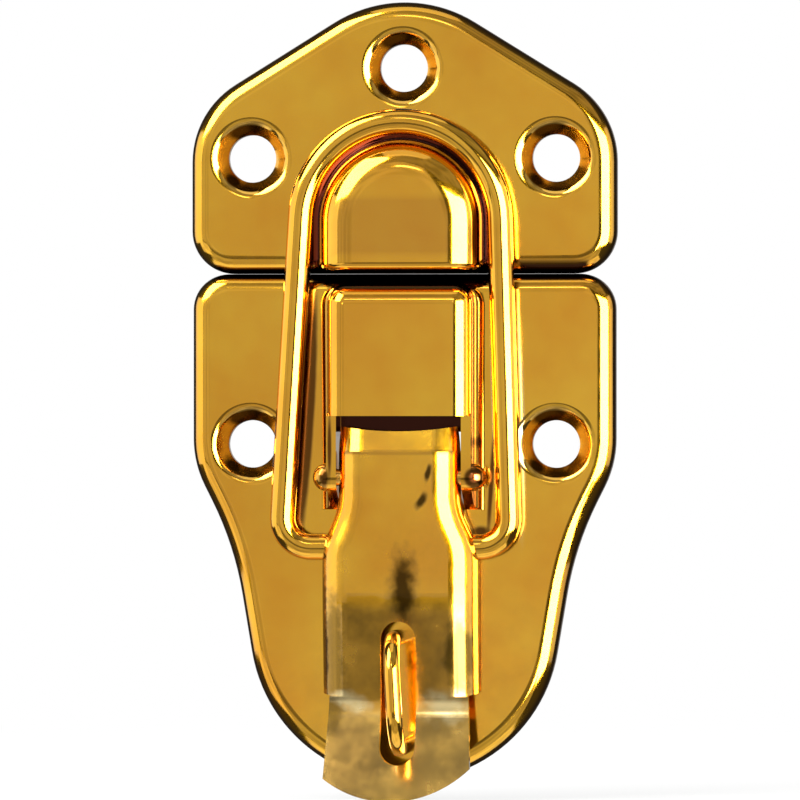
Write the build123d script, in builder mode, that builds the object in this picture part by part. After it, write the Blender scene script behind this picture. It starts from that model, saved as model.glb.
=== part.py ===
from build123d import *

import os
from math import cos, pi, sin, tan, radians

# Toggle catch for a cabinet or a case, closed, in millimetres.
# X is to the right, Z is up and the front faces -Y. The plates' rims lie on the plane Y = 0.
# The origin is midway between the two screw holes of the base plate.
# An "out" value is a distance from the mounting plane, so a point lies at Y = -out.

# Sheet and plates
sheet = 0.8
plate_out = 2.0
plate_half_width = 17.5
rim_radius = 1.5
seam_gap = 0.02

# Outline of the base plate
base_narrower = 0.1
base_top_z = 13.93
base_corner_radius = 2.9
base_shoulder_z = -1.6
base_shoulder_radius = 8.7
base_shoulder_angle = 26.6
base_waist_radius = 27.0
tail_taper = 9.5
tail_inset = 4.65
tail_bottom_z = -27.7

# Outline of the strike plate, from its lower edge
strike_corner_radius = 3.5
strike_side_height = 13.35
strike_shoulder_radius = 7.5
strike_slope = 31.8
strike_apex_radius = 11.0

# Screw holes and the dimples that countersink them
screw_hole_radius = 1.95
dimple_width = 1.05
dimple_lip_radius = 0.85
dimple_land = 0.3
base_hole_inset = 4.9
strike_hole_inset = 5.0
strike_hole_height = 9.45
strike_top_hole_height = 16.85

# Hook, the arched dome of the strike plate
hook_half_width = 6.75
hook_out = 6.2
hook_height = 10.95
hook_edge_radius = 3.0
hook_foot_radius = 0.9
hook_mouth_height = 0.25
hook_mouth_radius = 0.6
hook_mouth_lip = 1.3

# Box of the base plate, and the floor strip and window below it
box_half_width = 5.9
box_out = 6.2
box_edge_radius = 1.5
box_foot_radius = 0.9
box_top_margin = 1.03
box_bottom_z = 2.3
box_floor_lap = 0.2
floor_strip = 1.3
window_drop = 3.1

# Pivot of the lever, in two ears of the base plate
pivot_out = 4.6
pivot_z = -2.7
ear_radius = 1.2
ear_foot_drop = 3.05
pin_radius = 0.7
pin_head_lip = 0.45
pin_head_height = 1.2
running_clearance = 0.08

# Lever: a channel with a crowned face, narrow at the pivot and wider below it
lever_side_gap = 0.1
lever_box_gap = 0.8
lever_top_sag = 0.45
lever_lip_height = 2.1
lever_lip_drop = 0.75
lever_face_proud = 0.25
lever_face_crown = 0.22
lever_shoulder_proud = 0.45
lever_waist_drop = 2.4
lever_shoulder_drop = 5.6
lever_curve_radius = 6.0
lever_edge_radius = 2.3
lever_bend_z = -12.8
lever_bend_radius = 12.0
lever_end_z = -20.5
lever_end_fall = 0.95
lever_floor_gap = 0.45
lever_flange_radius = 1.4
lever_flange_rise = 0.45

# Thumb tab of the lever
tab_root_narrower = 0.75
tab_tip_narrower = 0.4
tab_tip_z = -28.9
tab_tip_rise = 3.9
tab_arc_height = 2.2
tab_slant = 0.4
tab_bend_radius = 3.0

# Bail: one bent wire
bail_wire_radius = 1.05
bail_over_centre = 0.7
bail_pivot_drop = 5.7
bail_plate_gap = 0.25
bail_hook_gap = 0.35
bail_corner_radius = 2.35
bail_flange_gap = 0.2
bail_left_stray = 0.9
bail_end_inset = 1.7

# Padlock staple: one bent wire, riveted behind the base plate, and the slot it stands in
staple_wire_radius = 0.65
staple_upper_z = -15.7
staple_lower_z = -24.6
staple_upper_x = -0.1
staple_lower_x = 0.4
staple_out = 12.4
staple_bend_radius = 3.1
staple_head_lip = 0.6
staple_head_height = 1.0
slot_side_gap = 0.8
slot_upper_gap = 0.65
slot_lower_gap = 0.8

# How far a cutting shape runs past the surface it cuts
over = 1.0

# Sizes that follow
base_half_width = plate_half_width - base_narrower
base_hole_x = base_half_width - base_hole_inset
tail_radius = base_half_width - tail_inset
dimple_radius = screw_hole_radius + dimple_width
strike_bottom_z = base_top_z + seam_gap
strike_hole_x = plate_half_width - strike_hole_inset
hook_top_z = strike_bottom_z + hook_height
box_top_z = base_top_z - box_top_margin
box_inner_half = box_half_width - sheet
window_top_z = box_bottom_z - floor_strip
window_bottom_z = pivot_z - window_drop
ear_foot_z = pivot_z - ear_foot_drop
pivot_point = (0, -pivot_out, pivot_z)
pin_head_radius = pin_radius + pin_head_lip
lever_waist_half = box_inner_half - lever_side_gap
lever_half_width = box_half_width + lever_shoulder_proud
lever_waist_z = pivot_z - lever_waist_drop
lever_shoulder_z = pivot_z - lever_shoulder_drop
lever_top_z = box_bottom_z - lever_box_gap
lever_crease_z = lever_top_z - lever_lip_height
lever_lip_fall = lever_lip_drop * (lever_lip_height + over) / lever_lip_height
lever_face_out = box_out + lever_face_proud
lever_end_face_out = lever_face_out - lever_end_fall
lever_flange_out = plate_out + lever_floor_gap
tab_root_half = lever_half_width - tab_root_narrower
tab_tip_half = lever_half_width - tab_tip_narrower
tab_tip_out = lever_end_face_out + tab_tip_rise
staple_head_radius = staple_wire_radius + staple_head_lip
slot_width = 2 * (staple_wire_radius + slot_side_gap)
slot_top_z = staple_upper_z + staple_wire_radius + slot_upper_gap
slot_bottom_z = staple_lower_z - staple_wire_radius - slot_lower_gap
bail_pivot_point = (0, bail_over_centre - pivot_out, pivot_z - bail_pivot_drop)
bail_arch_radius = hook_half_width + bail_hook_gap + bail_wire_radius
bail_foot_right = lever_half_width + bail_flange_gap + bail_corner_radius
bail_foot_left = bail_foot_right + bail_left_stray


def blank(corners, corner_radii):
    """The flat outline of a plate, seen from the front."""
    with BuildSketch(Plane.XZ) as outline:
        with BuildLine():
            FilletPolyline(*corners, radius=corner_radii, close=True)
        make_face()
    return outline.sketch_local


def pan_inside(outline):
    """The hollow under a pressed plate, one sheet thickness inside its outline."""
    with BuildPart() as inside:
        with BuildSketch(Plane.XZ):
            add(outline)
            offset(amount=-sheet)
        extrude(amount=plate_out - sheet)
        fillet(inside.faces().sort_by(Axis.Y)[0].edges(), rim_radius - sheet)
    return inside.part


def arch_sketch(half_width, foot_z, top_z):
    """An arch: straight sides under a half circle."""
    spring_z = top_z - half_width
    with BuildSketch(Plane.XZ) as arch:
        with BuildLine():
            Polyline((-half_width, spring_z), (-half_width, foot_z), (half_width, foot_z), (half_width, spring_z))
            RadiusArc((half_width, spring_z), (-half_width, spring_z), -half_width)
        make_face()
    return arch.sketch_local


def foot_edges(plate, half_width):
    """The two edges where the side walls of a raised form of this half width meet the plate's face."""
    on_face = plate.edges().filter_by(lambda e: abs(e.center().Y + plate_out) < 0.01)
    return on_face.filter_by(lambda e: abs(abs(e.center().X) - half_width) < 0.01)


# Screw dimple: a cone of sheet pressed back until the hole's edge is on the mounting plane
with BuildPart() as dimple_wall:
    with BuildSketch(Plane.XY):
        with BuildLine():
            Polyline(
                (0, 0),
                (screw_hole_radius + dimple_land, 0),
                (dimple_radius + dimple_land, sheet - plate_out),
                (0, sheet - plate_out),
                close=True,
            )
        make_face()
    revolve(axis=Axis.Y)

with BuildPart() as dimple_well:
    with BuildSketch(Plane.XY):
        with BuildLine():
            Polyline(
                (0, over),
                (screw_hole_radius, over),
                (screw_hole_radius, -sheet),
                (dimple_radius, -plate_out),
                (dimple_radius, -plate_out - over),
                (0, -plate_out - over),
                close=True,
            )
        make_face()
    revolve(axis=Axis.Y)


# Strike plate: pan, hook dome and three dimples
shoulder_z = strike_bottom_z + strike_side_height
apex_z = shoulder_z + plate_half_width * tan(radians(strike_slope))
strike_outline = blank(
    [
        (-plate_half_width, strike_bottom_z),
        (plate_half_width, strike_bottom_z),
        (plate_half_width, shoulder_z),
        (0, apex_z),
        (-plate_half_width, shoulder_z),
    ],
    [
        strike_corner_radius,
        strike_corner_radius,
        strike_shoulder_radius,
        strike_apex_radius,
        strike_shoulder_radius,
    ],
)
strike_holes = [
    (-strike_hole_x, 0, strike_bottom_z + strike_hole_height),
    (strike_hole_x, 0, strike_bottom_z + strike_hole_height),
    (0, 0, strike_bottom_z + strike_top_hole_height),
]
mouth_z = strike_bottom_z + hook_mouth_height
strike_inside = pan_inside(strike_outline)

with BuildPart() as hook_outside:
    with BuildSketch(Plane.XZ):
        add(arch_sketch(hook_half_width, mouth_z, hook_top_z))
    extrude(amount=hook_out)
    fillet(hook_outside.faces().sort_by(Axis.Y)[0].edges().sort_by(Axis.Z)[1:], hook_edge_radius)
    mouth_edges = hook_outside.faces().sort_by(Axis.Z)[0].edges().sort_by(Axis.Y)[:-1]
    fillet(mouth_edges, hook_mouth_radius)

with BuildPart() as hook_inside:
    with BuildSketch(Plane.XZ):
        add(arch_sketch(hook_half_width - sheet, mouth_z + sheet, hook_top_z - sheet))
    extrude(amount=hook_out - sheet)
    fillet(hook_inside.faces().sort_by(Axis.Y)[0].edges().sort_by(Axis.Z)[1:], hook_edge_radius - sheet)
    with BuildSketch(Plane.XZ.offset(plate_out)):
        with Locations((0, mouth_z)):
            Rectangle(2 * (hook_half_width - sheet), 2 * (sheet + hook_mouth_height))
    extrude(amount=hook_out - hook_mouth_lip - plate_out)

with BuildPart() as strike_plate:
    with BuildSketch(Plane.XZ):
        add(strike_outline)
    extrude(amount=plate_out)
    fillet(strike_plate.faces().sort_by(Axis.Y)[0].edges(), rim_radius)
    add(hook_outside.part)
    fillet(foot_edges(strike_plate, hook_half_width), hook_foot_radius)
    add(strike_inside, mode=Mode.SUBTRACT)
    add(hook_inside.part, mode=Mode.SUBTRACT)
    with Locations(*strike_holes):
        add(dimple_wall.part)
        add(dimple_well.part, mode=Mode.SUBTRACT)
    lips = strike_plate.edges().filter_by(GeomType.CIRCLE)
    fillet(lips.filter_by(lambda e: abs(e.radius - dimple_radius) < 0.01), dimple_lip_radius)


# Base plate: pan, box, pivot ears, window under the lever, two dimples and two staple holes
tail_centre_z = tail_bottom_z + tail_radius
flank_apex_z = tail_centre_z - tail_radius / sin(radians(tail_taper))
flank_rate = tan(radians(tail_taper))
shoulder_rate = tan(radians(base_shoulder_angle))
waist_fall = (base_half_width - (base_shoulder_z - flank_apex_z) * flank_rate) / (shoulder_rate - flank_rate)
waist_z = base_shoulder_z - waist_fall
waist_half = base_half_width - waist_fall * shoulder_rate
base_outline = blank(
    [
        (0, flank_apex_z),
        (waist_half, waist_z),
        (base_half_width, base_shoulder_z),
        (base_half_width, base_top_z),
        (-base_half_width, base_top_z),
        (-base_half_width, base_shoulder_z),
        (-waist_half, waist_z),
    ],
    [
        tail_radius,
        base_waist_radius,
        base_shoulder_radius,
        base_corner_radius,
        base_corner_radius,
        base_shoulder_radius,
        base_waist_radius,
    ],
)
base_holes = [(-base_hole_x, 0, 0), (base_hole_x, 0, 0)]
staple_feet = [(staple_upper_x, staple_upper_z), (staple_lower_x, staple_lower_z)]
base_inside = pan_inside(base_outline)

with BuildPart() as box_outside:
    with BuildSketch(Plane.XZ) as box_face:
        with Locations((0, (box_top_z + box_bottom_z) / 2)):
            Rectangle(2 * box_half_width, box_top_z - box_bottom_z)
        fillet(box_face.vertices().group_by(Axis.Y)[-1], box_edge_radius)
    extrude(amount=box_out)
    fillet(box_outside.faces().sort_by(Axis.Y)[0].edges().sort_by(Axis.Z)[1:], box_edge_radius)

with BuildPart() as box_inside:
    cavity_bottom_z = box_bottom_z + box_floor_lap
    cavity_top_z = box_top_z - sheet
    with BuildSketch(Plane.XZ) as cavity_face:
        with Locations((0, (cavity_top_z + cavity_bottom_z) / 2)):
            Rectangle(2 * box_inner_half, cavity_top_z - cavity_bottom_z)
        fillet(cavity_face.vertices().group_by(Axis.Y)[-1], box_edge_radius - sheet)
    extrude(amount=box_out - sheet)
    fillet(box_inside.faces().sort_by(Axis.Y)[0].edges().sort_by(Axis.Z)[1:], box_edge_radius - sheet)

with BuildPart() as base_plate:
    with BuildSketch(Plane.XZ):
        add(base_outline)
    extrude(amount=plate_out)
    fillet(base_plate.faces().sort_by(Axis.Y)[0].edges(), rim_radius)
    add(box_outside.part)
    for side in (-1, 1):
        with BuildSketch(Plane.YZ.offset(side * box_half_width)):
            with Locations((-pivot_out, pivot_z)):
                Circle(ear_radius)
            with BuildLine():
                Polyline(
                    (sheet - plate_out, ear_foot_z),
                    (sheet - plate_out, box_bottom_z + box_edge_radius),
                    (-pivot_out - ear_radius, box_bottom_z),
                )
            make_hull()
        extrude(amount=-side * sheet)
    fillet(foot_edges(base_plate, box_half_width), box_foot_radius)
    add(base_inside, mode=Mode.SUBTRACT)
    add(box_inside.part, mode=Mode.SUBTRACT)
    with BuildSketch(Plane.XZ.offset(plate_out)):
        with Locations((0, box_bottom_z)):
            Rectangle(2 * box_inner_half, 2 * box_floor_lap)
    extrude(amount=box_out - sheet - plate_out, mode=Mode.SUBTRACT)
    with BuildSketch(Plane.XZ):
        with Locations((0, (window_top_z + window_bottom_z) / 2)):
            Rectangle(2 * box_inner_half, window_top_z - window_bottom_z)
    extrude(amount=plate_out + over, mode=Mode.SUBTRACT)
    with BuildSketch(Plane.YZ):
        with Locations((-pivot_out, pivot_z)):
            Circle(pin_radius)
    extrude(amount=box_half_width + over, both=True, mode=Mode.SUBTRACT)
    with BuildSketch(Plane.XZ):
        with Locations(*staple_feet):
            Circle(staple_wire_radius)
    extrude(amount=plate_out + over, mode=Mode.SUBTRACT)
    with Locations(*base_holes):
        add(dimple_wall.part)
        add(dimple_well.part, mode=Mode.SUBTRACT)
    lips = base_plate.edges().filter_by(GeomType.CIRCLE)
    fillet(lips.filter_by(lambda e: abs(e.radius - dimple_radius) < 0.01), dimple_lip_radius)


# Lever: swept channel, bent lip at its top, flared thumb tab, padlock slot and the two pivots' holes
def lever_section(z, drop, inset):
    """The crowned face in section at height z, lowered by drop and inset by a wall, with a solid back."""
    half = lever_half_width + over
    face_y = drop + inset - lever_face_out
    back_y = face_y + lever_face_out - lever_flange_out + over
    with BuildSketch(Plane.XY.offset(z)) as section:
        with BuildLine():
            Polyline((-half, face_y), (-half, back_y), (half, back_y), (half, face_y))
            ThreePointArc((half, face_y), (0, face_y - lever_face_crown), (-half, face_y))
        make_face()
    return section.sketch


def lip_section(z, drop, inset):
    """The channel's section at its waist, with rounded corners."""
    with BuildSketch(Plane.XY.offset(z)) as section:
        add(lever_section(z, drop, inset))
        Rectangle(2 * (lever_waist_half - inset), 4 * lever_face_out, mode=Mode.INTERSECT)
        fillet(section.vertices().group_by(Axis.Y)[0], lever_edge_radius - inset)
    return section.sketch


def lever_outline(inset):
    """The channel's outline below the crease, inset by a wall: its sides curve out from the waist."""
    with BuildSketch(Plane.XZ) as outline:
        with BuildLine():
            FilletPolyline(
                (lever_waist_half, lever_crease_z + inset),
                (lever_waist_half, lever_waist_z),
                (lever_half_width, lever_shoulder_z),
                (lever_half_width, lever_end_z - over),
                radius=lever_curve_radius,
            )
            mirror(about=Plane.YZ)
            Line((-lever_waist_half, lever_crease_z + inset), (lever_waist_half, lever_crease_z + inset))
            Line((-lever_half_width, lever_end_z - over), (lever_half_width, lever_end_z - over))
        make_face()
        if inset:
            offset(amount=-inset)
    return outline.sketch_local


def lever_body(inset):
    """The channel with a solid back: the face swept down its profile, cut to its outline, and the bent lip."""
    with BuildPart() as body:
        sweep(lever_section(lever_crease_z, 0, inset), path=lever_profile.wire())
        with BuildSketch(Plane.XZ):
            add(lever_outline(inset))
        extrude(amount=2 * lever_face_out, mode=Mode.INTERSECT)
        sides = body.edges().filter_by(lambda e: abs(e.center().X) > lever_waist_half / 2)
        fillet(sides.filter_by(lambda e: e.center().Y < inset - lever_end_face_out), lever_edge_radius - inset)
        loft(
            [lip_section(lever_crease_z, 0, inset), lip_section(lever_top_z + over, lever_lip_fall, inset)],
            ruled=True,
        )
    return body.part


with BuildLine(Plane.YZ) as lever_profile:
    FilletPolyline(
        (-lever_face_out, lever_crease_z),
        (-lever_face_out, lever_bend_z),
        (-lever_end_face_out, lever_end_z),
        radius=lever_bend_radius,
    )

lever_outside = lever_body(0)
lever_inside = lever_body(sheet)

tab_plane = Plane(origin=lever_profile.wire() @ 1, x_dir=(1, 0, 0), z_dir=lever_profile.wire() % 1)
tab_root = tab_bend_radius / 3
tab_bend = (lever_profile.wire() @ 1) + (lever_profile.wire() % 1) * tab_root

with BuildPart() as tab:
    with BuildLine(Plane.YZ) as tab_profile:
        FilletPolyline(
            (-lever_end_face_out, lever_end_z),
            (tab_bend.Y, tab_bend.Z),
            (-tab_tip_out, tab_tip_z - over),
            radius=tab_bend_radius,
        )
    with BuildSketch(tab_plane):
        half = lever_half_width + over
        with BuildLine():
            ThreePointArc((-half, 0), (0, lever_face_crown), (half, 0))
            Line((half, 0), (half, -sheet))
            ThreePointArc((half, -sheet), (0, lever_face_crown - sheet), (-half, -sheet))
            Line((-half, -sheet), (-half, 0))
        make_face()
    sweep(path=tab_profile.wire())
    with BuildSketch(Plane.XZ):
        with BuildLine():
            left_z = tab_tip_z + tab_arc_height - tab_slant
            right_z = tab_tip_z + tab_arc_height + tab_slant
            Polyline(
                (-tab_tip_half, left_z),
                (-tab_root_half, lever_end_z + over),
                (tab_root_half, lever_end_z + over),
                (tab_tip_half, right_z),
            )
            ThreePointArc((tab_tip_half, right_z), (0, tab_tip_z), (-tab_tip_half, left_z))
        make_face()
    extrude(amount=2 * tab_tip_out, mode=Mode.INTERSECT)

with BuildPart() as lever:
    add(lever_outside)
    add(lever_inside, mode=Mode.SUBTRACT)
    heel = pivot_out - lever_flange_out
    with BuildSketch(Plane.YZ) as flange_side:
        with BuildLine():
            Polyline(
                (-lever_flange_out, pivot_z),
                (-lever_flange_out, lever_end_z + lever_flange_rise),
                (-2 * lever_face_out, lever_end_z - 2 * over),
                (-2 * lever_face_out, lever_top_z),
                (-pivot_out, lever_top_z),
                (-pivot_out, pivot_z + heel),
            )
            RadiusArc((-pivot_out, pivot_z + heel), (-lever_flange_out, pivot_z), heel)
        make_face()
        fillet(flange_side.vertices().group_by(Axis.X)[-1].sort_by(Axis.Y)[0], lever_flange_radius)
    extrude(amount=lever_half_width + over, both=True, mode=Mode.INTERSECT)
    with BuildSketch(Plane.XZ):
        with BuildLine():
            ThreePointArc(
                (-lever_waist_half, lever_top_z),
                (0, lever_top_z - lever_top_sag),
                (lever_waist_half, lever_top_z),
            )
            Polyline(
                (lever_waist_half, lever_top_z),
                (lever_waist_half, lever_top_z + over),
                (-lever_waist_half, lever_top_z + over),
                (-lever_waist_half, lever_top_z),
            )
        make_face()
    extrude(amount=2 * lever_face_out, mode=Mode.SUBTRACT)
    add(tab.part)
    with BuildSketch(Plane.XZ):
        with Locations((0, (slot_top_z + slot_bottom_z) / 2)):
            SlotOverall(slot_top_z - slot_bottom_z, slot_width, rotation=90)
    extrude(amount=2 * lever_face_out, mode=Mode.SUBTRACT)
    with BuildSketch(Plane.YZ):
        with Locations((-pivot_out, pivot_z)):
            Circle(pin_radius + running_clearance)
        with Locations((bail_pivot_point[1], bail_pivot_point[2])):
            Circle(bail_wire_radius + running_clearance)
    extrude(amount=lever_half_width + over, both=True, mode=Mode.SUBTRACT)


# Bail: one wire in a plane that leans from its pivot to the hook
arch_height = hook_top_z - hook_half_width - bail_pivot_point[2]
top_y = -plate_out - bail_plate_gap - bail_wire_radius
lean = (top_y - bail_pivot_point[1]) / (arch_height + bail_arch_radius)
bail_plane = Plane(origin=bail_pivot_point, x_dir=(1, 0, 0), z_dir=(0, -1, -lean))
bail_end = lever_half_width - bail_end_inset

with BuildPart() as bail:
    with BuildLine(bail_plane) as bail_path:
        arch_ends = {}
        for side, foot in ((-1, bail_foot_left), (1, bail_foot_right)):
            splay = (foot - bail_arch_radius) / arch_height
            arch_end = (side * bail_arch_radius * cos(splay), arch_height + bail_arch_radius * sin(splay))
            arch_ends[side] = arch_end
            foot_x = side * (bail_arch_radius * cos(splay) + arch_end[1] * tan(splay))
            FilletPolyline((side * bail_end, 0), (foot_x, 0), arch_end, radius=bail_corner_radius)
        ThreePointArc(arch_ends[-1], (0, arch_height + bail_arch_radius), arch_ends[1])
    with BuildSketch(Plane(origin=bail_path.wire() @ 0, z_dir=bail_path.wire() % 0)):
        Circle(bail_wire_radius)
    sweep(path=bail_path.wire())


# Pivot rivet through the ears and the lever, with a domed head on each side
with BuildPart() as lever_pivot_pin:
    head_face = box_half_width
    with BuildSketch(Plane(origin=pivot_point, x_dir=(1, 0, 0), z_dir=(0, -1, 0))):
        with BuildLine():
            Polyline(
                (-head_face - pin_head_height, 0),
                (head_face + pin_head_height, 0),
            )
            for side in (-1, 1):
                RadiusArc(
                    (side * (head_face + pin_head_height), 0),
                    (side * head_face, pin_head_radius),
                    -side * (pin_head_radius**2 + pin_head_height**2) / (2 * pin_head_height),
                )
            Polyline(
                (-head_face, pin_head_radius),
                (-head_face, pin_radius),
                (head_face, pin_radius),
                (head_face, pin_head_radius),
            )
        make_face()
    revolve(axis=Axis(pivot_point, (1, 0, 0)))


# Padlock staple: a wire eye with its two feet riveted over behind the base plate
foot_out = plate_out - sheet
staple_run = staple_upper_x - staple_lower_x
staple_rise = staple_upper_z - staple_lower_z
staple_half = (staple_run**2 + staple_rise**2) ** 0.5 / 2
staple_middle = (staple_upper_x - staple_run / 2, 0, staple_upper_z - staple_rise / 2)
staple_plane = Plane(origin=staple_middle, x_dir=(0, -1, 0), z_dir=(-staple_rise, 0, staple_run))

with BuildPart() as padlock_staple:
    with BuildLine(staple_plane) as staple_path:
        FilletPolyline(
            (foot_out, staple_half),
            (staple_out - staple_wire_radius, staple_half),
            (staple_out - staple_wire_radius, -staple_half),
            (foot_out, -staple_half),
            radius=staple_bend_radius,
        )
    with BuildSketch(Plane.XZ.offset(foot_out)):
        with Locations(staple_feet[0]):
            Circle(staple_wire_radius)
    sweep(path=staple_path.wire())
    with BuildSketch(Plane.XZ.offset(foot_out - staple_head_height)):
        with Locations(*staple_feet):
            Circle(staple_head_radius)
    extrude(amount=staple_head_height)


pieces = {
    "base_plate": base_plate,
    "strike_plate": strike_plate,
    "lever": lever,
    "bail": bail,
    "lever_pivot_pin": lever_pivot_pin,
    "padlock_staple": padlock_staple,
}
os.makedirs("parts", exist_ok=True)
for name, piece in pieces.items():
    piece.part.label = name
    export_step(piece.part, f"parts/{name}.step")
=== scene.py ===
from math import cos, pi, radians, sin

import bmesh
import bpy
from mathutils import Matrix, Vector


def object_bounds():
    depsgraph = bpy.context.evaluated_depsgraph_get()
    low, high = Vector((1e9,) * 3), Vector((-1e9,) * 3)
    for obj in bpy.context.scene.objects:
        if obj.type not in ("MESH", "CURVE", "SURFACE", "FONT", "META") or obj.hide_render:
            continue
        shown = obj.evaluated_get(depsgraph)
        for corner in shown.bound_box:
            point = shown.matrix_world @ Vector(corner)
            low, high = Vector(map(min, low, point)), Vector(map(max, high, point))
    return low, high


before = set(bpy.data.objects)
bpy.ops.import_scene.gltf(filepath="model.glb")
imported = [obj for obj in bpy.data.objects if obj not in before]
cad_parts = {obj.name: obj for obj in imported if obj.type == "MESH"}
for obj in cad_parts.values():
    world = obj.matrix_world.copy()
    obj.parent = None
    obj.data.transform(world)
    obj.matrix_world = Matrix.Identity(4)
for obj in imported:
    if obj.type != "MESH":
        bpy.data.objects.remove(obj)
cad_box = [list(corner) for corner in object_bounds()]


# Base plate: the lower half of the catch, one pressing of 0.8 mm mild steel with a turned-down rim, two screw
# dimples, a raised box and two pivot ears. It is polished, brass plated and clear lacquered.

millimetre = 0.001


def linear(hex_colour):
    """An sRGB hex colour as the linear RGBA that a socket takes."""
    channels = [int(hex_colour[place : place + 2], 16) / 255 for place in (1, 3, 5)]
    return [c / 12.92 if c <= 0.04045 else ((c + 0.055) / 1.055) ** 2.4 for c in channels] + [1.0]


def add_node(tree, kind, settings, sockets):
    """Adds a node with its settings, and fills its sockets with values or with other nodes' outputs."""
    node = tree.nodes.new(kind)
    for name, value in settings.items():
        setattr(node, name, value)
    for socket, value in sockets.items():
        if isinstance(value, bpy.types.NodeSocket):
            tree.links.new(value, node.inputs[socket])
        else:
            node.inputs[socket].default_value = value
    return node


def mirrored_place(tree):
    """The object's own coordinates with X folded to its right half, for what is alike left and right."""
    place = add_node(tree, "ShaderNodeTexCoord", {}, {}).outputs["Object"]
    parts = add_node(tree, "ShaderNodeSeparateXYZ", {}, {"Vector": place})
    across = add_node(tree, "ShaderNodeMath", {"operation": "ABSOLUTE"}, {0: parts.outputs["X"]})
    folded = add_node(tree, "ShaderNodeCombineXYZ", {}, {
        "X": across.outputs[0], "Y": parts.outputs["Y"], "Z": parts.outputs["Z"],
    })
    return folded.outputs[0]


def box_mask(tree, place, low, high, fade):
    """One inside a box given in millimetres, falling to nothing over fade millimetres within its faces."""
    centre = [(a + b) / 2 * millimetre for a, b in zip(low, high)]
    half = [(b - a) / 2 * millimetre for a, b in zip(low, high)]
    offset = add_node(tree, "ShaderNodeVectorMath", {"operation": "SUBTRACT"}, {0: place, 1: centre})
    away = add_node(tree, "ShaderNodeVectorMath", {"operation": "ABSOLUTE"}, {0: offset.outputs[0]})
    depth = add_node(tree, "ShaderNodeVectorMath", {"operation": "SUBTRACT"}, {0: half, 1: away.outputs[0]})
    across, out, up = add_node(tree, "ShaderNodeSeparateXYZ", {}, {"Vector": depth.outputs[0]}).outputs
    level = add_node(tree, "ShaderNodeMath", {"operation": "MINIMUM"}, {0: across, 1: out})
    least = add_node(tree, "ShaderNodeMath", {"operation": "MINIMUM"}, {0: level.outputs[0], 1: up})
    inside = add_node(tree, "ShaderNodeMapRange", {"interpolation_type": "SMOOTHSTEP"}, {
        "Value": least.outputs[0], "From Min": 0.0, "From Max": fade * millimetre,
    })
    return inside.outputs["Result"]


def arch_mask(tree, place, foot_height, spring_height, low_radius, high_radius, out, back, fade):
    """One in a band that runs up both sides and round an arch, between out and back, in millimetres."""
    parts = add_node(tree, "ShaderNodeSeparateXYZ", {}, {"Vector": place})
    above = add_node(tree, "ShaderNodeMath", {"operation": "SUBTRACT"}, {
        0: parts.outputs["Z"], 1: spring_height * millimetre,
    })
    rise = add_node(tree, "ShaderNodeMath", {"operation": "MAXIMUM"}, {0: above.outputs[0], 1: 0.0})
    from_axis = add_node(tree, "ShaderNodeCombineXYZ", {}, {"X": parts.outputs["X"], "Y": rise.outputs[0]})
    radius = add_node(tree, "ShaderNodeVectorMath", {"operation": "LENGTH"}, {0: from_axis.outputs[0]})
    unrolled = add_node(tree, "ShaderNodeCombineXYZ", {}, {
        "X": radius.outputs["Value"], "Y": parts.outputs["Y"], "Z": parts.outputs["Z"],
    })
    low = (low_radius, -out, foot_height)
    high = (high_radius, -back, spring_height + high_radius + fade)
    return box_mask(tree, unrolled.outputs[0], low, high, fade)


def lay_over(tree, colour, share, tone):
    """Covers a colour with a tone, as far as share says."""
    return add_node(tree, "ShaderNodeMix", {"data_type": "RGBA"}, {
        "Factor": share, 6: colour, 7: linear(tone),
    }).outputs[2]


def add_marks(tree, colour, marks, raggedness):
    """Lays soft ellipsoids of other tones over a colour.

    A mark is a centre and half sizes in millimetres, each as across, out and up, then a tilt in degrees that
    is clockwise from the front, a softness and a tone. Raggedness tears the edges, about 1.1 mm apart."""
    strongest = 0.92
    tear_size = 1.1 * millimetre
    place = add_node(tree, "ShaderNodeTexCoord", {}, {}).outputs["Object"]
    tear = add_node(tree, "ShaderNodeTexNoise", {}, {"Vector": place, "Scale": 1 / tear_size, "Detail": 2.0})
    wander = add_node(tree, "ShaderNodeMapRange", {}, {
        "Value": tear.outputs["Fac"], "To Min": -raggedness / 2, "To Max": raggedness / 2,
    })
    for (across, out, up), half_sizes, tilt, softness, tone in marks:
        centred = add_node(tree, "ShaderNodeMapping", {"vector_type": "TEXTURE"}, {
            "Vector": place,
            "Location": (across * millimetre, -out * millimetre, up * millimetre),
            "Rotation": (0, radians(tilt), 0),
            "Scale": [size * millimetre for size in half_sizes],
        })
        away = add_node(tree, "ShaderNodeVectorMath", {"operation": "LENGTH"}, {0: centred.outputs["Vector"]})
        torn = add_node(tree, "ShaderNodeMath", {"operation": "ADD"}, {
            0: away.outputs["Value"], 1: wander.outputs["Result"],
        })
        share = add_node(tree, "ShaderNodeMapRange", {"interpolation_type": "SMOOTHSTEP"}, {
            "Value": torn.outputs[0], "From Min": 1 + softness, "From Max": 1 - softness,
            "To Max": strongest,
        })
        colour = lay_over(tree, colour, share.outputs["Result"], tone)
    return colour


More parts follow.
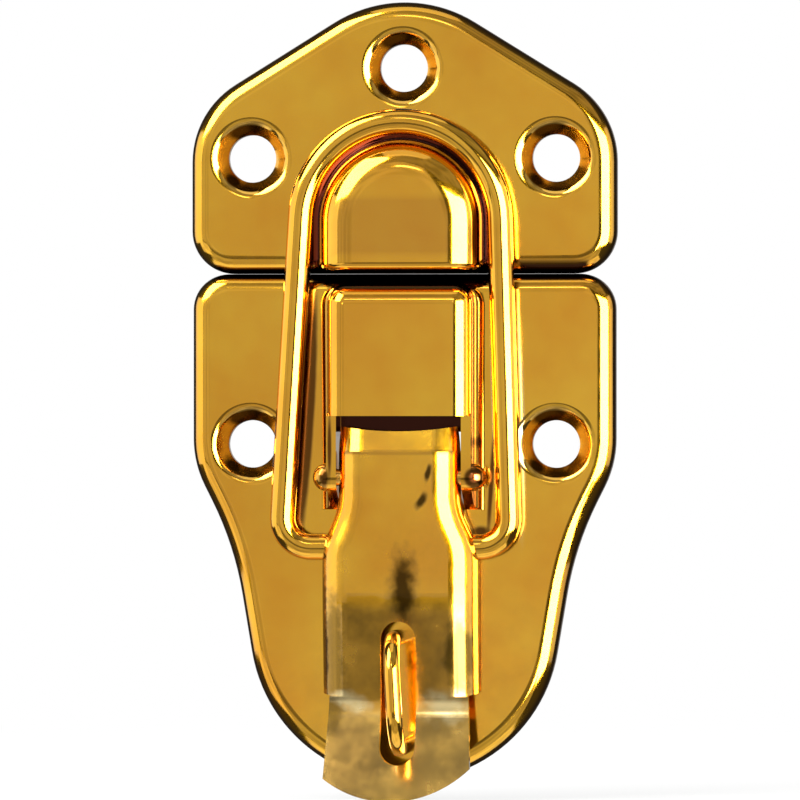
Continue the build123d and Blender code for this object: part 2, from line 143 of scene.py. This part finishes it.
def brass_plating(name, deep, pale, dent_height, peel_height, scratch_height, roughness, stretch,
                  arch=None, recesses=(), one_sided_shades=(), marks=(), raggedness=0.12):
    """Bright brass plate under clear lacquer. The metal is a saturated mirror, and the lacquer adds white
    glints, which weaken where the finish is dark.

    The gold drifts between two tones over about 9 mm, where the plate is thicker or thinner. Pressing leaves
    dents about 5 mm across, and the polished steel below has a faint orange peel about 1.4 mm across. Buffing
    leaves hairlines that follow stretch. Real ones are finer than a pixel, so they are drawn 0.22 mm apart.
    Handling smears the polish over about 2.5 mm. A brown painted shade lies close to the mounting face, and
    a maroon painted shade lies round the arch.

    A recess or a one-sided shade is a box's low and high corners and its fade in millimetres, then a tone;
    most are painted shade. Recesses are alike left and right, and one-sided shades aren't. The three heights
    are in millimetres too."""
    drift_size = 9 * millimetre
    smear_size = 2.5 * millimetre
    dent_size = 5 * millimetre
    peel_size = 1.4 * millimetre
    hairline_size = 0.22 * millimetre
    # Brown painted shade close to the mounting face
    brown_from = -1.7 * millimetre
    brown_to = -1.1 * millimetre
    brown_share = 0.85
    near_face_painted_shade = "#5A3A10"
    # Maroon painted shade round the hook's arch
    arch_painted_shade = "#571C06"
    lacquer_roughness = 0.05
    lacquer_ior = 1.57

    material = bpy.data.materials.new(name)
    material.use_nodes = True
    tree = material.node_tree
    shader = tree.nodes["Principled BSDF"]
    place = add_node(tree, "ShaderNodeTexCoord", {}, {}).outputs["Object"]
    drift = add_node(tree, "ShaderNodeTexNoise", {}, {
        "Vector": place, "Scale": 1 / drift_size, "Detail": 3.0, "Roughness": 0.55,
    })
    drift_range = add_node(tree, "ShaderNodeMapRange", {}, {
        "Value": drift.outputs["Fac"], "From Min": 0.35, "From Max": 0.65,
    })
    gold = add_node(tree, "ShaderNodeMix", {"data_type": "RGBA"}, {
        "Factor": drift_range.outputs["Result"], 6: linear(deep), 7: linear(pale),
    })
    # Lays the brown painted shade over the gold close to the mounting face
    from_mounting_face = add_node(tree, "ShaderNodeSeparateXYZ", {}, {"Vector": place}).outputs["Y"]
    near_face_shade_share = add_node(tree, "ShaderNodeMapRange", {"interpolation_type": "SMOOTHSTEP"}, {
        "Value": from_mounting_face, "From Min": brown_from, "From Max": brown_to, "To Max": brown_share,
    })
    colour = lay_over(tree, gold.outputs[2], near_face_shade_share.outputs["Result"], near_face_painted_shade)
    folded = mirrored_place(tree)
    # A maroon painted shade in the band between the hook and the bail's arch
    if arch:
        colour = lay_over(tree, colour, arch_mask(tree, folded, **arch), arch_painted_shade)
    for spot, patches in ((folded, recesses), (place, one_sided_shades)):
        for low, high, fade, tone in patches:
            colour = lay_over(tree, colour, box_mask(tree, spot, low, high, fade), tone)
    colour = add_marks(tree, colour, marks, raggedness)
    tree.links.new(colour, shader.inputs["Base Color"])

    brightness = add_node(tree, "ShaderNodeRGBToBW", {}, {"Color": colour})
    lacquer = add_node(tree, "ShaderNodeMapRange", {}, {
        "Value": brightness.outputs["Val"], "From Min": 0.04, "From Max": 0.35,
        "To Min": 0.05, "To Max": 0.8,
    })
    tree.links.new(lacquer.outputs["Result"], shader.inputs["Coat Weight"])

    smear = add_node(tree, "ShaderNodeTexNoise", {}, {
        "Vector": place, "Scale": 1 / smear_size, "Detail": 4.0, "Roughness": 0.65,
    })
    haze = add_node(tree, "ShaderNodeMapRange", {}, {
        "Value": smear.outputs["Fac"], "From Min": 0.3, "From Max": 0.7,
        "To Min": roughness * 0.7, "To Max": roughness * 1.5,
    })
    tree.links.new(haze.outputs["Result"], shader.inputs["Roughness"])

    dent = add_node(tree, "ShaderNodeTexNoise", {}, {"Vector": place, "Scale": 1 / dent_size, "Detail": 0.0})
    dent_bump = add_node(tree, "ShaderNodeBump", {}, {
        "Strength": 1.0, "Distance": dent_height * millimetre, "Height": dent.outputs["Fac"],
    })
    peel = add_node(tree, "ShaderNodeTexNoise", {}, {"Vector": place, "Scale": 1 / peel_size, "Detail": 1.0})
    peel_bump = add_node(tree, "ShaderNodeBump", {}, {
        "Strength": 1.0, "Distance": peel_height * millimetre, "Height": peel.outputs["Fac"],
        "Normal": dent_bump.outputs["Normal"],
    })
    along = add_node(tree, "ShaderNodeMapping", {}, {"Vector": place, "Scale": stretch})
    hairline = add_node(tree, "ShaderNodeTexNoise", {}, {
        "Vector": along.outputs["Vector"], "Scale": 1 / hairline_size, "Detail": 2.0,
    })
    hairline_bump = add_node(tree, "ShaderNodeBump", {}, {
        "Strength": 1.0, "Distance": scratch_height * millimetre, "Height": hairline.outputs["Fac"],
        "Normal": peel_bump.outputs["Normal"],
    })
    tree.links.new(hairline_bump.outputs["Normal"], shader.inputs["Normal"])
    shader.inputs["Metallic"].default_value = 1.0
    shader.inputs["Coat Roughness"].default_value = lacquer_roughness
    shader.inputs["Coat IOR"].default_value = lacquer_ior
    return material


def dress(node_name, material):
    """Gives a CAD node its finish through its own material slots."""
    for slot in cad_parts[node_name].material_slots:
        slot.material = material


# Painted shade on the two plates, and a deeper gold on the hook's face: low corner, high corner, fade and
# tone
box_end_shade_under_lever = ((-5.15, -5.6, 0.6), (5.15, 0.0, 2.6), 0.1, "#3A1A10")
gap_shade_inside_bail = ((-7.6, -4.5, 12.9), (7.6, -0.3, 14.6), 0.3, "#2A120A")
rim_shade_at_gap = ((-18.5, -1.7, 13.2), (18.5, 0.5, 14.75), 0.35, "#2E1A08")
box_side_wall_shade = ((5.85, -5.3, -6.6), (6.95, -2.05, 13.95), 0.25, "#7C5908")
hook_face = ((-7.2, -7.0, 14.9), (7.2, -5.2, 20.6), 2.0, "#B87006")
# Painted shade on the strike plate's rim at the seam, on the right only
strike_rim_shade = ((9.3, -2.2, 13.9), (15.4, -0.8, 15.2), 0.45, "#2E1606")
# A maroon painted shade in the band between the hook and the bail's arch round it
painted_shade_round_hook = {
    "foot_height": 14.0,
    "spring_height": 18.15,
    "low_radius": 6.4,
    "high_radius": 8.2,
    "out": 4.2,
    "back": 1.5,
    "fade": 0.35,
}

# The bowls round the screw holes are paler, with a painted dark reflection above and another below on the
# left
hole_across = 12.5
base_holes_height = 0.0
strike_holes_height = 23.4
top_hole_height = 30.8
bowl_radius = 3.05
bowl_out = 1.2
bowl_reach = 6.0
bowl_shade = "#241204"
bowl_tones = [
    ((0.0, 0.0), (bowl_radius, bowl_radius), 0, 0.05, "#F6BE44"),
    ((-0.5, 2.3), (1.5, 0.6), -15, 0.3, bowl_shade),
    ((-1.55, -1.8), (0.7, 0.4), 40, 0.4, bowl_shade),
]
holes = [
    (-hole_across, base_holes_height),
    (-hole_across, strike_holes_height),
    (hole_across, base_holes_height),
    (hole_across, strike_holes_height),
    (0.0, top_hole_height),
]
plate_marks = []
for across, height in holes:
    for (right, up), (half_width, half_height), tilt, softness, tone in bowl_tones:
        place = (across + right, bowl_out, height + up)
        half_sizes = (half_width, bowl_reach, half_height)
        plate_marks.append((place, half_sizes, tilt, softness, tone))

# Painted reflections beside the bail, and painted shade and shadow: centre, half sizes, tilt, softness and
# tone
# Pale painted reflections along the bail's right leg
reflection_outside_bail = ((9.48, 2.2, 2.6), (0.5, 0.7, 9.4), -1.5, 0.3, "#F6D488")
reflection_inside_bail = ((7.65, 2.2, 3.5), (0.35, 0.7, 9.0), -1.5, 0.3, "#F8E0B0")
# Painted shade and shadow: beside the box, along and under the right ear, at the lever's neck, above the pin
# and beside the hook
shade_left_of_box = ((-7.9, 2.4, 2.4), (0.66, 1.15, 10.8), 3.5, 0.2, "#5A2E0A")
shadow_right_of_ear = ((7.25, 2.2, -3.3), (0.2, 0.7, 4.4), 3.5, 0.5, "#5A2A06")
shadow_at_foot_of_right_ear = ((6.4, 2.2, -7.1), (0.7, 0.7, 0.4), 0, 0.5, "#4A2008")
shade_left_of_neck = ((-5.63, 5.8, -0.2), (0.16, 2.0, 2.4), 0, 0.5, "#5A2A06")
shade_above_pin = ((6.3, 3.6, 0.15), (0.4, 2.0, 0.65), 0, 0.3, "#3A1408")
shade_right_of_hook = ((6.3, 3.4, 16.9), (0.8, 2.4, 3.4), 0, 0.25, "#3A1206")
plate_marks += [
    reflection_outside_bail, reflection_inside_bail, shade_left_of_box, shadow_right_of_ear,
    shadow_at_foot_of_right_ear, shade_left_of_neck, shade_above_pin, shade_right_of_hook,
]
# Painted reflection on the pin's heads: a dark ring round an orange centre at the right, and a dark oval at
# the left
pin_head_painted_reflection = [
    ((6.15, 4.7, -2.7), (0.95, 2.0, 0.95), 0, 0.15, "#4A2408"),
    ((6.15, 4.7, -2.7), (0.42, 2.0, 0.42), 0, 0.3, "#E88030"),
    ((-6.1, 4.7, -2.7), (0.45, 2.0, 0.9), 0, 0.3, "#4A2408"),
]

plate_finish = brass_plating(
    "brass_plated_pressed_steel",
    deep="#F0A70A",
    pale="#F8BC22",
    dent_height=0.012,
    peel_height=0.004,
    scratch_height=0.0006,
    roughness=0.11,
    stretch=(1.0, 1.0, 0.12),
    arch=painted_shade_round_hook,
    recesses=[box_end_shade_under_lever, gap_shade_inside_bail, rim_shade_at_gap, box_side_wall_shade, hook_face],
    one_sided_shades=[strike_rim_shade],
    marks=plate_marks + pin_head_painted_reflection,
)
dress("base_plate", plate_finish)


# Padlock staple: a bent brass-plated steel wire whose legs go through the plate and are headed over behind
# it. Drawing the wire leaves faint lines along it.

# Painted shade on the wire's half towards the mounting face, and on the bail's leg beside the box
wire_underside_shade = ((-1.0, -3.95, -12.0), (14.0, -1.0, 30.0), 0.22, "#76500E")
wire_shade_left_of_box = ((-7.75, 3.3, 2.4), (0.72, 3.0, 10.8), 3.5, 0.2, "#5A2E0A")

wire_finish = brass_plating(
    "brass_plated_drawn_wire",
    deep="#EDA80C",
    pale="#F8BC26",
    dent_height=0.0,
    peel_height=0.002,
    scratch_height=0.0005,
    roughness=0.10,
    stretch=(1.0, 1.0, 0.05),
    recesses=[wire_underside_shade],
    marks=[wire_shade_left_of_box],
)
dress("padlock_staple", wire_finish)


# Lever pivot pin: a steel rivet through the ears and the lever's flanges, headed at both ends and plated
# with the catch. The heading leaves it duller than the wire.

rivet_finish = brass_plating(
    "brass_plated_rivet",
    deep="#D99A20",
    pale="#E8B040",
    dent_height=0.0,
    peel_height=0.003,
    scratch_height=0.0006,
    roughness=0.18,
    stretch=(1.0, 1.0, 1.0),
    marks=pin_head_painted_reflection,
)
dress("lever_pivot_pin", rivet_finish)


# Lever: a pressed channel of the same steel with a padlock slot and a thumb tab. Fingers and the staple have
# rubbed it, so its finish is a little softer and more uneven than the plates'.

# Painted shade in the crease at the lever's neck
crease_shade_at_neck = ((-4.9, -6.8, -0.95), (4.9, -5.5, -0.35), 0.3, "#B07C12")
# A paler, less saturated gold on the lever's lower face and on the tab
paler_lower_face = ((-6.2, -10.0, -22.0), (6.2, -4.0, -12.6), 1.4, "#E0A838")
paler_tab = ((-7.0, -10.0, -31.0), (7.0, -4.0, -20.9), 1.2, "#DEB256")
# Painted shade along the lever's edges, on the tab's left and on the left flange
left_edge_shade = ((-5.4, 5.5, -19.0), (1.0, 3.5, 7.0), 0, 0.35, "#94701C")
right_edge_shade = ((5.0, 5.5, -17.4), (1.1, 3.5, 3.4), 0, 0.35, "#8A6818")
tab_left_shade = ((-3.6, 7.0, -25.4), (2.9, 4.0, 3.4), 0, 0.5, "#B48E48")
left_flange_shade = ((-6.35, 4.0, -14.8), (0.55, 3.0, 7.2), 0, 0.3, "#3A2408")
# A painted highlight on both sides of the tab's bend
painted_bend_highlight = "#FFE6A4"
bend_highlight_right = ((3.75, 7.0, -21.3), (1.9, 3.0, 1.3), 0, 0.5, painted_bend_highlight)
bend_highlight_left = ((-3.9, 7.0, -20.9), (1.7, 3.0, 0.7), 15, 0.5, painted_bend_highlight)
# Painted dark reflections on the lever's face, above the slot and higher up at the right
dark_reflection_tone = "#2A1A0A"
dark_reflection_above_slot = ((0.45, 6.9, -11.7), (1.05, 1.0, 2.6), 0, 0.6, dark_reflection_tone)
lower_dark_reflection = ((1.95, 6.9, -4.6), (0.32, 1.0, 0.72), 30, 0.47, dark_reflection_tone)
upper_dark_reflection = ((2.5, 6.9, -2.3), (0.23, 1.0, 0.82), 12, 0.47, dark_reflection_tone)

lever_finish = brass_plating(
    "brass_plated_handled_lever",
    deep="#EDA50C",
    pale="#F8BC26",
    dent_height=0.05,
    peel_height=0.006,
    scratch_height=0.0008,
    roughness=0.19,
    stretch=(0.4, 1.0, 0.2),
    recesses=[crease_shade_at_neck, paler_lower_face, paler_tab],
    marks=[
        left_edge_shade, right_edge_shade, tab_left_shade, left_flange_shade, bend_highlight_right, bend_highlight_left,
        dark_reflection_above_slot, lower_dark_reflection, upper_dark_reflection,
    ],
    raggedness=1.18,
)
dress("lever", lever_finish)


# Bail: a loop bent from brass-plated steel wire, whose turned-in ends sit in the lever's flanges. It pulls
# the hook down, and it has the staple's finish.

dress("bail", wire_finish)


# Strike plate: the upper half, pressed from the same steel, with three screw dimples and the arched hook that
# the bail pulls down. It has the base plate's finish.

dress("strike_plate", plate_finish)


# Studio: a pale floor just under the catch, a white surround, soft boxes and the cards that a photographer of
# polished metal stands round it. Cards show in reflections only.

floor_gap = 0.3 * millimetre
floor_half_size = 0.6
floor_height = cad_box[0][2] - floor_gap
shadow_reach = 30 * millimetre
white_from = 140 * millimetre
whiteness_by_catch = 0.75

floor_mesh = bmesh.new()
bmesh.ops.create_grid(floor_mesh, x_segments=1, y_segments=1, size=floor_half_size)
bmesh.ops.translate(floor_mesh, verts=floor_mesh.verts, vec=(0, 0, floor_height))
floor = bpy.data.objects.new("pale_floor", bpy.data.meshes.new("pale_floor"))
floor_mesh.to_mesh(floor.data)
floor_mesh.free()
bpy.context.scene.collection.objects.link(floor)
floor.visible_glossy = False

paper = bpy.data.materials.new("pale_paper_sweep")
paper.use_nodes = True
paper_tree = paper.node_tree
matt_paper = paper_tree.nodes["Principled BSDF"]
matt_paper.inputs["Base Color"].default_value = linear("#F0F0EE")
matt_paper.inputs["Roughness"].default_value = 0.9
spot = add_node(paper_tree, "ShaderNodeTexCoord", {}, {}).outputs["Object"]
far = add_node(paper_tree, "ShaderNodeVectorMath", {"operation": "LENGTH"}, {0: spot})
whiteness = add_node(paper_tree, "ShaderNodeMapRange", {"interpolation_type": "SMOOTHSTEP"}, {
    "Value": far.outputs["Value"], "From Min": shadow_reach, "From Max": white_from,
    "To Min": whiteness_by_catch, "To Max": 1.0,
})
rays = add_node(paper_tree, "ShaderNodeLightPath", {}, {})
share = add_node(paper_tree, "ShaderNodeMath", {"operation": "MULTIPLY"}, {
    0: rays.outputs["Is Camera Ray"], 1: whiteness.outputs["Result"],
})
glow = add_node(paper_tree, "ShaderNodeEmission", {}, {"Color": (1, 1, 1, 1), "Strength": 1.0})
paper_mix = add_node(paper_tree, "ShaderNodeMixShader", {}, {
    0: share.outputs[0], 1: matt_paper.outputs[0], 2: glow.outputs[0],
})
paper_tree.links.new(paper_mix.outputs[0], paper_tree.nodes["Material Output"].inputs["Surface"])
floor.data.materials.append(paper)

surround = bpy.data.worlds.new("white_surround")
bpy.context.scene.world = surround
surround.use_nodes = True
surround_tree = surround.node_tree
rays = add_node(surround_tree, "ShaderNodeLightPath", {}, {})
white = add_node(surround_tree, "ShaderNodeBackground", {}, {"Color": (1, 1, 1, 1), "Strength": 1.0})
room = add_node(surround_tree, "ShaderNodeBackground", {}, {"Color": linear("#E8E6E0"), "Strength": 0.07})
fill = add_node(surround_tree, "ShaderNodeBackground", {}, {"Color": linear("#E4E6E8"), "Strength": 0.55})
surround_mix = add_node(surround_tree, "ShaderNodeMixShader", {}, {
    0: rays.outputs["Is Glossy Ray"], 1: fill.outputs[0], 2: room.outputs[0],
})
camera_mix = add_node(surround_tree, "ShaderNodeMixShader", {}, {
    0: rays.outputs["Is Camera Ray"], 1: surround_mix.outputs[0], 2: white.outputs[0],
})
surround_tree.links.new(camera_mix.outputs[0], surround_tree.nodes["World Output"].inputs["Surface"])


def facing_object(azimuth, elevation, distance):
    """A place on a sphere round the catch, turned to face it. Azimuth 0 is the front, 90 is +X."""
    turn, rise = radians(azimuth), radians(elevation)
    outward = Vector((sin(turn) * cos(rise), -cos(turn) * cos(rise), sin(rise)))
    return Matrix.Translation(outward * distance) @ outward.to_track_quat("Z", "Y").to_matrix().to_4x4()


def reflection_card(name, place, size, tones):
    """A card seen only in reflections, uneven between two tones over about 0.15 m."""
    patch_size = 0.15
    mesh = bmesh.new()
    bmesh.ops.create_grid(mesh, x_segments=1, y_segments=1, size=0.5)
    bmesh.ops.scale(mesh, verts=mesh.verts, vec=(*size, 1))
    card = bpy.data.objects.new(name, bpy.data.meshes.new(name))
    mesh.to_mesh(card.data)
    mesh.free()
    card.matrix_world = place
    bpy.context.scene.collection.objects.link(card)
    card.visible_camera = False
    card.visible_diffuse = False
    card.visible_shadow = False
    finish = bpy.data.materials.new(name)
    finish.use_nodes = True
    tree = finish.node_tree
    tree.nodes.remove(tree.nodes["Principled BSDF"])
    spot = add_node(tree, "ShaderNodeTexCoord", {}, {}).outputs["Object"]
    patches = add_node(tree, "ShaderNodeTexNoise", {}, {
        "Vector": spot, "Scale": 1 / patch_size, "Detail": 1.0,
    })
    tone = add_node(tree, "ShaderNodeMapRange", {"interpolation_type": "SMOOTHSTEP"}, {
        "Value": patches.outputs["Fac"], "From Min": 0.35, "From Max": 0.65,
        "To Min": tones[0], "To Max": tones[1],
    })
    glow = add_node(tree, "ShaderNodeEmission", {}, {
        "Color": (1, 1, 1, 1), "Strength": tone.outputs["Result"],
    })
    tree.links.new(glow.outputs[0], tree.nodes["Material Output"].inputs["Surface"])
    card.data.materials.append(finish)


def soft_box(name, place, size, brightness):
    """A rectangular area light whose face looks as bright as brightness, where 1 is white."""
    width, height = size
    light = bpy.data.lights.new(name, "AREA")
    light.shape = "RECTANGLE"
    light.size = width
    light.size_y = height
    light.energy = brightness * width * height * pi
    lamp = bpy.data.objects.new(name, light)
    lamp.matrix_world = place
    bpy.context.scene.collection.objects.link(lamp)


reflection_card("grey_wall_behind_camera", facing_object(-24, 18, 0.9), size=(1.15, 0.92), tones=(0.48, 0.72))
reflection_card("dim_table_edge", facing_object(0, -15, 1.0), size=(1.3, 0.3), tones=(0.13, 0.2))
reflection_card("grey_table_in_front", facing_object(0, -38, 0.5), size=(0.9, 0.33), tones=(0.4, 0.6))
reflection_card("pale_paper_below", facing_object(0, -80, 0.5), size=(0.9, 0.42), tones=(0.9, 1.2))
reflection_card("grey_ceiling", facing_object(0, 57, 0.75), size=(0.8, 0.36), tones=(0.27, 0.36))
reflection_card("pale_side_table_left", facing_object(-55, -20, 0.6), size=(0.5, 0.2), tones=(0.8, 1.2))
reflection_card("dim_room_upper_right", facing_object(52, 50, 0.7), size=(0.7, 0.45), tones=(0.2, 0.4))
reflection_card("pale_wall_at_right", facing_object(92, 5, 0.6), size=(0.36, 0.5), tones=(0.9, 1.3))
reflection_card("pale_wall_behind", facing_object(180, 10, 0.9), size=(0.9, 0.7), tones=(0.3, 0.45))
soft_box("right_soft_box", facing_object(46, 1, 0.6), size=(0.56, 0.48), brightness=15.0)
soft_box("left_soft_box", facing_object(-84, 4, 0.7), size=(0.8, 0.45), brightness=1.2)
soft_box("upper_left_soft_box", facing_object(-52, 40, 0.7), size=(0.46, 0.56), brightness=8.0)
soft_box("small_upper_soft_box", facing_object(0, 31, 0.7), size=(0.16, 0.05), brightness=3.5)
soft_box("top_soft_box", facing_object(10, 80, 0.7), size=(0.5, 0.35), brightness=0.8)


# Camera: a long lens, level with the catch and a little to its right, as in the photograph. It frames the
# catch as tightly as the photograph does.

view_azimuth = 5.5
camera_distance = 0.60
sensor = 36.0
view_width = 65.6 * millimetre
aim = Vector((-0.37 * millimetre, -0.5 * millimetre, 3.6 * millimetre))

camera_data = bpy.data.cameras.new("photograph_view")
camera_data.sensor_width = sensor
camera_data.lens = sensor * camera_distance / view_width
camera = bpy.data.objects.new("photograph_view", camera_data)
camera.matrix_world = Matrix.Translation(aim) @ facing_object(view_azimuth, 0, camera_distance)
bpy.context.scene.collection.objects.link(camera)
bpy.context.scene.camera = camera
bpy.context.scene.view_settings.view_transform = "Standard"
